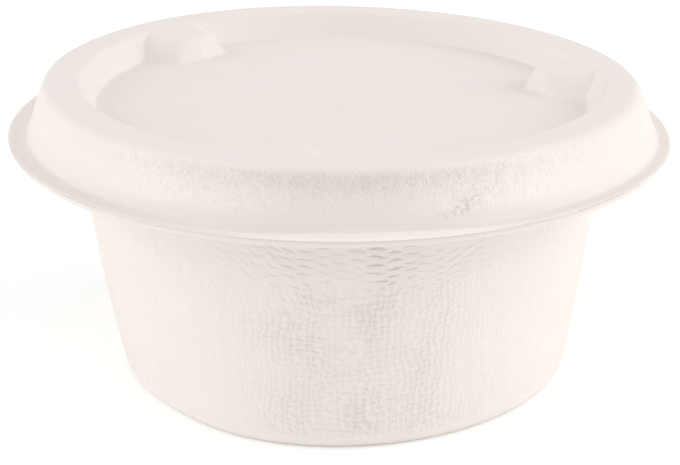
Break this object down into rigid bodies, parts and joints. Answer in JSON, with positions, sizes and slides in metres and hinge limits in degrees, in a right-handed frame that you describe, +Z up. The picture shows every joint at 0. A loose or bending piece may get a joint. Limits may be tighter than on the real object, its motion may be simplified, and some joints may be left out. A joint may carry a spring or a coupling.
{
  "type": "lidded dressing cup",
  "caption": "Small round tapered cup of moulded plant pulp with a flat rim flange, shut with a press-on pulp lid that has a raised ring and a sunk middle.",
  "frame": {"origin": "middle of the flat base, on the surface the cup stands on", "axes": "+Z up along the cup's axis, -Y towards the front as pictured, +X to the right"},
  "size_m": [0.073, 0.073, 0.0345],
  "materials": {
    "cup_pulp": "warm white moulded bagasse pulp, matt, with the print of the forming mesh on the wall",
    "lid_pulp": "warm white moulded bagasse pulp, matt, smooth on top and finely grained on the skirt"
  },
  "bodies": {
    "root": {"cup": "cup_pulp", "lid": "lid_pulp"}
  },
  "joints": []
}
